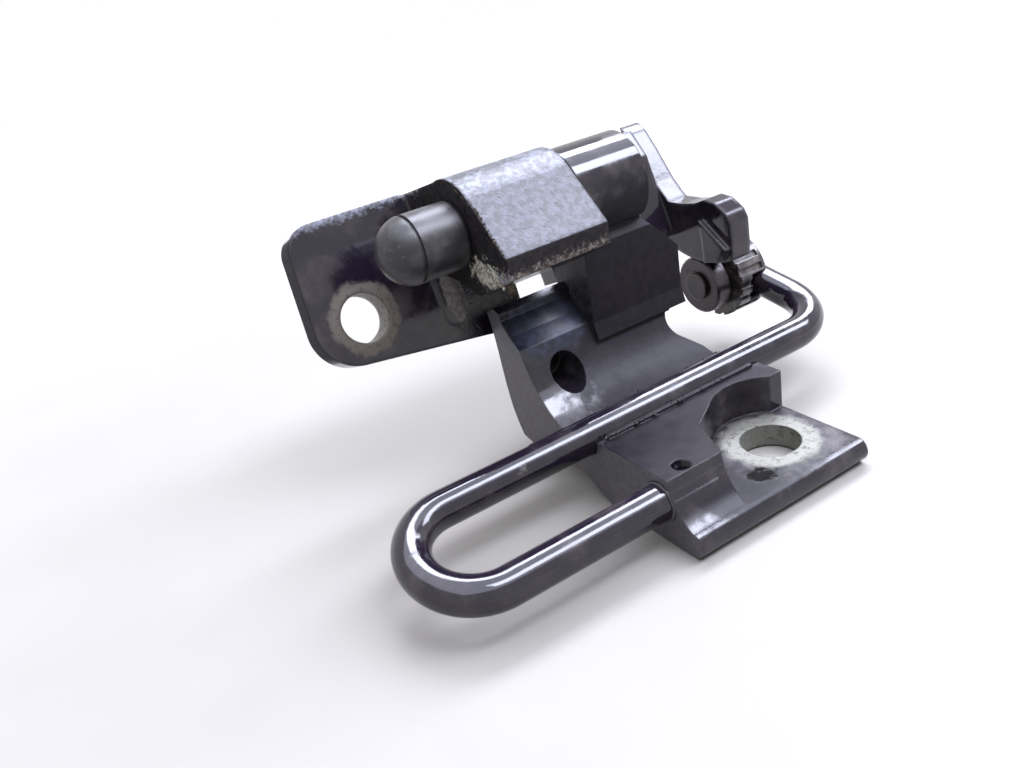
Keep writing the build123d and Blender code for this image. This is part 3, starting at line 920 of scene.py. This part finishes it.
@dataclass
class FixedLeaf:
    """Leaf A: the bolted flange, the block, the trough, the wall and the barrel."""

    bolt_mm: Point = (0.0, 0.0, 6.1)
    washer_mm: float = 11.9
    left_mm: float = -39.4
    leg_mm: Point = (-39.4, -4.45, 10.0)
    bar_mm: float = 4.5
    collar_gap_mm: float = 0.15
    collar_bead_mm: float = 0.5
    lip_y_mm: Span = (16.6, 27.9)
    lip_z_mm: float = 17.3
    lip_start_mm: float = 0.8
    lip_end_mm: float = 13.0
    bead_count: int = 26
    bead_mm: Span = (0.22, 0.55)
    bead_scatter_mm: Point = (0.0, 0.35, 0.12)

    def finish(self) -> PaintedForging:
        """Describe the leaf's paint with its dull places of painted shade, its painted sheen and
        reflection, its dirt and its worn ring.

        Returns:
            The finish.
        """
        # Painted sheen: the leaf's faces toward -X are painted a lighter grey, with duller paint.
        left_end_painted_sheen = Patch(
            centre_mm=(self.left_mm, 30.0, 14.0), radius_mm=70.0, colours=("48464a", "525054"),
            roughness=0.5, grain_mm=0.8, relief_mm=0.01, side=Side.LEFT, share=0.85,
        )
        # Painted shade: the block's top is painted darker in clouds, with duller paint that reflects
        # little.
        block_top_painted_shade = Patch(
            centre_mm=(-16.0, 6.0, 16.5), radius_mm=30.0, colours=("1c191c", "100f13"),
            roughness=0.36, grain_mm=2.4, relief_mm=0.006, side=Side.TOP,
            ragged_mm=5.0, share=0.92, shine=0.14, fade_mm=5.0,
        )
        dusty_flange = Patch(
            centre_mm=(1.0, -1.0, 6.1), radius_mm=16.0, colours=("4c4845", "302e33"),
            roughness=0.4, grain_mm=2.0, relief_mm=0.008, side=Side.TOP,
            ragged_mm=3.0, share=0.45, shine=0.4, fade_mm=3.0,
        )
        black_smudge = Patch(
            centre_mm=(-12.4, -9.8, 6.1), radius_mm=3.2, colours=("060505", "0e0c0c"),
            roughness=0.7, grain_mm=1.3, relief_mm=0.05, ragged_mm=1.7, share=0.95, shine=0.04,
        )
        # Painted shade: the post's front faces are painted darker, with dull paint that reflects
        # little.
        post_painted_shade = Patch(
            centre_mm=(-1.0, 47.0, 45.0), radius_mm=24.0, colours=("0e0c10", "15131a"),
            roughness=0.5, grain_mm=1.5, relief_mm=0.01, side=Side.FRONT,
            ragged_mm=2.0, share=0.9, shine=0.12, fade_mm=4.0,
        )
        # Painted shade: the trough is painted darker, with dull paint that keeps its reflection faint.
        trough_painted_shade = Patch(
            centre_mm=(1.0, 36.5, 18.0), radius_mm=25.0, colours=("141117", "1b181c"),
            roughness=0.5, grain_mm=1.2, relief_mm=0.012, weights=(0.8, 1.0, 0.8),
            ragged_mm=3.0, share=0.9, shine=0.14, fade_mm=6.0,
        )
        # Painted reflection: a bluish grey patch on the wall's 45 degree flat.
        wall_painted_reflection = Patch(
            centre_mm=(-29.0, 50.5, 35.0), radius_mm=8.5, colours=("363c52", "242735"),
            roughness=0.42, grain_mm=1.6, relief_mm=0.015, weights=(0.75, 1.0, 1.0),
            ragged_mm=1.2, share=0.75, shine=0.35, fade_mm=2.5,
        )
        worn_ring = WasherMark(
            self.bolt_mm, self.washer_mm, ragged_mm=0.7, fade_mm=1.3, bare="72726a", rust="4f4a40"
        )
        return PaintedForging(
            name="steel_forged_dip_painted_gloss_black",
            dust_share=0.2,
            peel_depth_mm=0.014,
            features=(
                left_end_painted_sheen,
                block_top_painted_shade,
                dusty_flange,
                black_smudge,
                post_painted_shade,
                trough_painted_shade,
                wall_painted_reflection,
                worn_ring,
            ),
        )

    def build(self, paint: bpy.types.Material) -> None:
        """Add the pooled paint round the bar's short leg and the beads along the groove's lips.

        Args:
            paint: The leaf's material.
        """
        ring_mm = self.bar_mm + self.collar_gap_mm
        PaintCollar("leg_collar", self.leg_mm, ring_mm, self.collar_bead_mm).build(paint, Body.FIXED)
        near_y, far_y = self.lip_y_mm
        start_x, end_x = self.left_mm + self.lip_start_mm, self.lip_end_mm
        for name, y, seed in (("beads_near", near_y, 3), ("beads_far", far_y, 5)):
            Crumbs(
                name=name,
                path_mm=((start_x, y, self.lip_z_mm), (end_x, y, self.lip_z_mm)),
                count=self.bead_count,
                size_mm=self.bead_mm,
                scatter_mm=self.bead_scatter_mm,
                seed=seed,
            ).build(paint, Body.FIXED)

    def dress(self, nodes: Nodes) -> None:
        """Lay the paint on the leaf and add what stands on it.

        Args:
            nodes: All nodes of the frame.
        """
        paint = self.finish().build()
        dress(nodes, ("leaf_a",), paint)
        self.build(paint)


@dataclass
class SwingingLeaf:
    """Leaf B: the tilted plate, the pin block and the cam arm."""

    bolt_mm: Point = (-69.9, 68.65, 47.1)
    washer_mm: float = 9.4
    plate_left_mm: float = -84.2
    block_left_mm: float = -47.4
    block_right_mm: float = -17.9
    pit_past_mm: float = 0.4
    nose_y_mm: float = 31.65
    nose_foot_mm: float = 57.6
    crumb_count: int = 150
    edge_inset_mm: float = 0.3
    edge_crumb_mm: Span = (0.14, 0.34)
    corner_inset_mm: float = 0.2
    corner_crumb_mm: Span = (0.12, 0.34)

    def finish(self) -> PaintedForging:
        """Describe the leaf's pitted paint, where it has corroded, its painted sheen, highlight and
        shade, and its worn ring.

        Returns:
            The finish.
        """
        middle = (self.block_left_mm + self.block_right_mm) / 2
        pitted_block = Pitting(0.7, (self.block_left_mm, self.block_right_mm + self.pit_past_mm))
        # Painted sheen: the pin block's top is painted a lighter bluish grey, laid over its real
        # pitted relief.
        block_top_painted_sheen = Patch(
            centre_mm=(middle, 42.0, 72.0), radius_mm=24.0, colours=("5c606c", "26272e"),
            roughness=0.24, grain_mm=1.1, relief_mm=0.15, side=Side.TOP,
            ragged_mm=1.5, share=0.85, shine=0.62,
        )
        flaked_block_end = Patch(
            centre_mm=(self.block_left_mm, 46.0, 66.0), radius_mm=26.0, colours=("0d0b0d", "1f1b1d"),
            roughness=0.72, grain_mm=1.0, relief_mm=0.3, side=Side.LEFT, ragged_mm=3.0, shine=0.12,
        )
        # Painted shade: the plate's left end is painted darker, with dull paint that reflects almost
        # nothing.
        plate_end_painted_shade = Patch(
            centre_mm=(self.plate_left_mm, 70.0, 52.0), radius_mm=40.0, colours=("0f0d11", "1b181c"),
            roughness=0.6, grain_mm=1.0, relief_mm=0.02, weights=(9.0, 1.0, 1.0), side=Side.LEFT,
            share=0.95, shine=0.05,
        )
        # Painted shade: the nose's front faces, between the block and leaf A's wall, are painted
        # darker with dull paint.
        nose_painted_shade = Patch(
            centre_mm=(middle, self.nose_y_mm, 61.0), radius_mm=26.0, colours=("100e11", "201c1d"),
            roughness=0.6, grain_mm=0.8, relief_mm=0.08, side=Side.FRONT,
            ragged_mm=2.0, share=0.9, shine=0.15,
        )
        rusty_nose_foot = Patch(
            centre_mm=(middle, self.nose_y_mm, self.nose_foot_mm), radius_mm=1.4,
            colours=("7d756e", "3a322d"), roughness=0.85, grain_mm=0.5, relief_mm=0.25,
            weights=(0.0, 1.0, 1.0), ragged_mm=1.3, share=0.85, shine=0.2,
        )
        pale_corner_crust = Patch(
            centre_mm=(self.block_left_mm, 41.5, 57.0), radius_mm=3.3, colours=("b3b2a4", "67655b"),
            roughness=0.9, grain_mm=0.6, relief_mm=0.3, weights=(0.8, 0.45, 1.0),
            ragged_mm=1.8, share=0.9, shine=0.2,
        )
        grey_corner_rub = Patch(
            centre_mm=(self.block_left_mm, 33.5, 56.6), radius_mm=1.8, colours=("84838a", "4b4a50"),
            roughness=0.6, grain_mm=0.5, relief_mm=0.1, weights=(0.8, 0.5, 1.0),
            ragged_mm=1.0, share=0.8,
        )
        # Painted highlight: a light bluish grey band along the plate's top edge, mottled with the
        # darker speckles of its real corrosion.
        plate_edge_painted_highlight = Patch(
            centre_mm=(-66.0, 78.6, 72.2), radius_mm=1.7, colours=("777986", "34343c"),
            roughness=0.45, grain_mm=0.6, relief_mm=0.2, weights=(0.08, 0.4, 1.0),
            ragged_mm=0.9, share=0.75,
        )
        dusty_pad = Patch(
            centre_mm=(-44.6, 67.4, 45.0), radius_mm=7.2, colours=("787570", "595651"),
            roughness=0.5, grain_mm=0.8, relief_mm=0.02, weights=(2.3, 0.4, 0.85), side=Side.FRONT,
            ragged_mm=0.6, share=0.85,
        )
        ochre_notch_crust = Patch(
            centre_mm=(-27.2, 66.4, 41.5), radius_mm=2.6, colours=("b9ab8c", "6d6152"),
            roughness=0.85, grain_mm=0.5, relief_mm=0.1, weights=(1.4, 0.5, 0.7),
            ragged_mm=1.0, share=0.8,
        )
        worn_ring = WasherMark(
            self.bolt_mm, self.washer_mm, ragged_mm=0.6, fade_mm=0.9, bare="5c5650", rust="37302b"
        )
        return PaintedForging(
            name="steel_forged_dip_painted_pitted_black",
            dust_share=0.14,
            gloss=0.1,
            peel_mm=2.6,
            peel_depth_mm=0.03,
            edge_mm=1.5,
            features=(
                pitted_block,
                block_top_painted_sheen,
                flaked_block_end,
                plate_end_painted_shade,
                nose_painted_shade,
                rusty_nose_foot,
                pale_corner_crust,
                grey_corner_rub,
                plate_edge_painted_highlight,
                dusty_pad,
                ochre_notch_crust,
                worn_ring,
            ),
        )

    def build(self) -> None:
        """Add the crusts that have grown along the pin block's left end."""
        dark = CorrosionCrust("oxide_crust_dark_flaked", ("2a2523", "4a413a")).build()
        pale = CorrosionCrust("oxide_crust_pale_powdery", ("b4b09a", "76705f")).build()
        edge_x = self.block_left_mm + self.edge_inset_mm
        corner_x = self.block_left_mm + self.corner_inset_mm
        Crumbs(
            name="crust_block_edge",
            path_mm=((edge_x, 32.4, 63.2), (edge_x, 42.5, 73.0), (edge_x, 52.0, 78.0)),
            count=self.crumb_count,
            size_mm=self.edge_crumb_mm,
            scatter_mm=(0.25, 0.3, 0.3),
            seed=17,
        ).build(dark, Body.SWINGING)
        Crumbs(
            name="crust_block_corner",
            path_mm=((corner_x, 47.0, 57.6), (corner_x, 41.5, 56.8), (corner_x, 35.5, 56.2)),
            count=self.crumb_count,
            size_mm=self.corner_crumb_mm,
            scatter_mm=(0.2, 1.0, 1.3),
            seed=23,
        ).build(pale, Body.SWINGING)

    def dress(self, nodes: Nodes) -> None:
        """Lay the paint on the leaf and add what stands on it."""
        dress(nodes, ("leaf_b",), self.finish().build())
        self.build()


@dataclass
class SpringBar:
    """Torsion bar: spring steel under the same dip paint."""

    loop_chip_mm: Point = (-94.0, 9.0, 17.0)
    leg_chip_mm: Point = (-60.0, 18.4, 18.6)

    def finish(self) -> PaintedForging:
        """Describe the bar's smooth paint with two chips.

        Returns:
            The finish.
        """
        loop_chip = Patch(
            centre_mm=self.loop_chip_mm, radius_mm=1.2, colours=("4f4a47", "26262b"),
            roughness=0.5, grain_mm=0.5, relief_mm=0.03, ragged_mm=1.2, share=0.6,
        )
        leg_chip = Patch(
            centre_mm=self.leg_chip_mm, radius_mm=0.8, colours=("6a625b", "2a282b"),
            roughness=0.6, grain_mm=0.5, relief_mm=0.03, ragged_mm=0.8, share=0.6,
        )
        return PaintedForging(
            name="spring_steel_drawn_dip_painted_black",
            dust_share=0.12,
            gloss=0.06,
            peel_mm=4.5,
            peel_depth_mm=0.045,
            features=(loop_chip, leg_chip),
        )

    def dress(self, nodes: Nodes) -> None:
        """Lay the paint on the bar."""
        dress(nodes, ("torsion_bar",), self.finish().build())


@dataclass
class PinJoint:
    """Hinge pin with its bushes, its washer, its clip and the rubber cap."""

    def dress(self, nodes: Nodes) -> None:
        """Lay the finishes on the pieces of the pin.

        Args:
            nodes: All nodes of the frame.
        """
        steel = GroundSteel("steel_ground_hardened", colour="8f8a84", stain="4a3a2c").build()
        dress(nodes, ("hinge_pin", "pin_washer", "pin_clip"), steel)
        dress(nodes, ("bush_left", "bush_right", "roller_bush"), SinteredBronze().build())
        dress(nodes, ("pin_cap",), MouldedRubber().build())


@dataclass
class RollerGroup:
    """Roller, its washer and the ribbed housing on the bar's end."""

    def dress(self, nodes: Nodes) -> None:
        """Lay the finishes on the pieces round the roller.

        Args:
            nodes: All nodes of the frame.
        """
        dark = GroundSteel(
            "steel_turned_oiled_dark", colour="4e4a4d", stain="241e1b", roughness=0.3
        ).build()
        dress(nodes, ("roller", "roller_washer"), dark)
        dress(nodes, ("end_housing",), MouldedPlastic().build())


@dataclass(frozen=True)
class SoftLamp:
    """Rectangular lamp over the hinge, with its place and size in metres and its power in watts."""

    name: str
    place: Point
    size: Span
    power: float
    colour: str = "e6eaff"

    def build(self) -> None:
        """Hang the lamp so that it faces the hinge, with its length along X."""
        data = bpy.data.lights.new(self.name, "AREA")
        data.shape = "RECTANGLE"
        data.size, data.size_y = self.size
        data.energy = self.power
        data.color = linear(self.colour)[:3]
        lamp = bpy.data.objects.new(self.name, data)
        bpy.context.scene.collection.objects.link(lamp)
        away = Vector(self.place).normalized()
        along = (Vector((1.0, 0.0, 0.0)) - away * away.x).normalized()
        turn = Matrix((along, away.cross(along), away)).transposed().to_4x4()
        lamp.matrix_world = Matrix.Translation(Vector(self.place)) @ turn
        lamp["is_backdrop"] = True
        LOG.info("%s: %.0f W", self.name, self.power)


@dataclass(frozen=True)
class PhotoCamera:
    """Camera where the photograph was taken from, with its place in metres."""

    eye: Point = (-0.1460, -0.14275, 0.1318)
    right: Point = (0.826, -0.540, -0.164)
    down: Point = (-0.370, -0.299, -0.880)
    lens_mm: float = 32.67
    sensor_mm: float = 36.0
    nearest: float = 0.01

    def build(self) -> None:
        """Place the camera and make it the scene's own."""
        right = Vector(self.right).normalized()
        up = -Vector(self.down)
        up = (up - right * up.dot(right)).normalized()
        turn = Matrix((right, up, right.cross(up))).transposed().to_4x4()
        data = bpy.data.cameras.new("photo_camera")
        data.lens = self.lens_mm
        data.sensor_width = self.sensor_mm
        data.clip_start = self.nearest
        camera = bpy.data.objects.new("photo_camera", data)
        camera.matrix_world = Matrix.Translation(Vector(self.eye)) @ turn
        bpy.context.scene.collection.objects.link(camera)
        bpy.context.scene.camera = camera


@dataclass
class Studio:
    """Pale floor, soft light from above and the camera, with sizes in metres."""

    floor_size: float = 2.4
    floor_drop: float = 0.0004
    board: PaleBoard = field(default_factory=PaleBoard)
    lamps: tuple[SoftLamp, ...] = (
        SoftLamp("lamp_front", place=(0.45, -0.29, 0.85), size=(1.0, 0.29), power=18.0),
        SoftLamp("lamp_back", place=(0.50, 0.42, 0.78), size=(1.0, 0.26), power=18.0),
        SoftLamp("soft_box", place=(0.0, 0.0, 1.5), size=(2.4, 2.4), power=54.0),
    )
    fill_colour: str = "f6f4f8"
    fill_light: Span = (0.5, 2.0)
    fill_turn: Span = (0.0, 0.7)
    camera: PhotoCamera = field(default_factory=PhotoCamera)

    def build(self) -> None:
        """Make the floor, the lamps, the world and the camera."""
        bpy.context.scene.view_settings.view_transform = "Standard"
        self._floor()
        for lamp in self.lamps:
            lamp.build()
        self._world()
        self.camera.build()

    def _floor(self) -> None:
        """Lay the floor just under the hinge."""
        low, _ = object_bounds()
        bpy.ops.mesh.primitive_plane_add(
            size=self.floor_size, location=(0.0, 0.0, low.z - self.floor_drop)
        )
        floor = bpy.context.object
        floor.name = "floor"
        floor.data.materials.append(self.board.build())
        floor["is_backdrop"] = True

    def _world(self) -> None:
        """Fill the studio with soft light, white where the camera or a reflection looks."""
        world = bpy.data.worlds.new("studio_world")
        bpy.context.scene.world = world
        world.use_nodes = True
        tree = world.node_tree
        tree.nodes.clear()
        pattern = Pattern(tree)
        direction = add_node(tree, "ShaderNodeTexCoord").outputs["Generated"]
        split = add_node(tree, "ShaderNodeSeparateXYZ", inputs={0: direction})
        light = pattern.span(split.outputs[1], *self.fill_turn, *self.fill_light)
        fill: Inputs = {"Color": linear(self.fill_colour), "Strength": light}
        white: Inputs = {"Color": linear("ffffff"), "Strength": 1.0}
        lit, plain = (add_node(tree, "ShaderNodeBackground", inputs=look) for look in (fill, white))
        path = add_node(tree, "ShaderNodeLightPath").outputs
        mirrored = pattern.maths("MAXIMUM", path["Is Glossy Ray"], path["Is Transmission Ray"])
        seen = pattern.maths("MAXIMUM", path["Is Camera Ray"], mirrored)
        mix = add_node(
            tree, "ShaderNodeMixShader", inputs={0: seen, 1: lit.outputs[0], 2: plain.outputs[0]}
        )
        add_node(tree, "ShaderNodeOutputWorld", inputs={0: mix.outputs[0]})


def main() -> None:
    """Build the hinge's looks in order, then the studio."""
    logging.basicConfig(level=logging.INFO)
    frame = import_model()
    nodes = frame["nodes"]
    for group in (FixedLeaf(), SwingingLeaf(), SpringBar(), PinJoint(), RollerGroup()):
        group.dress(nodes)
        LOG.info("dressed %s", type(group).__name__)
    Studio().build()
    LOG.info("built with %d nodes", len(nodes))


if __name__ == "__main__":
    main()
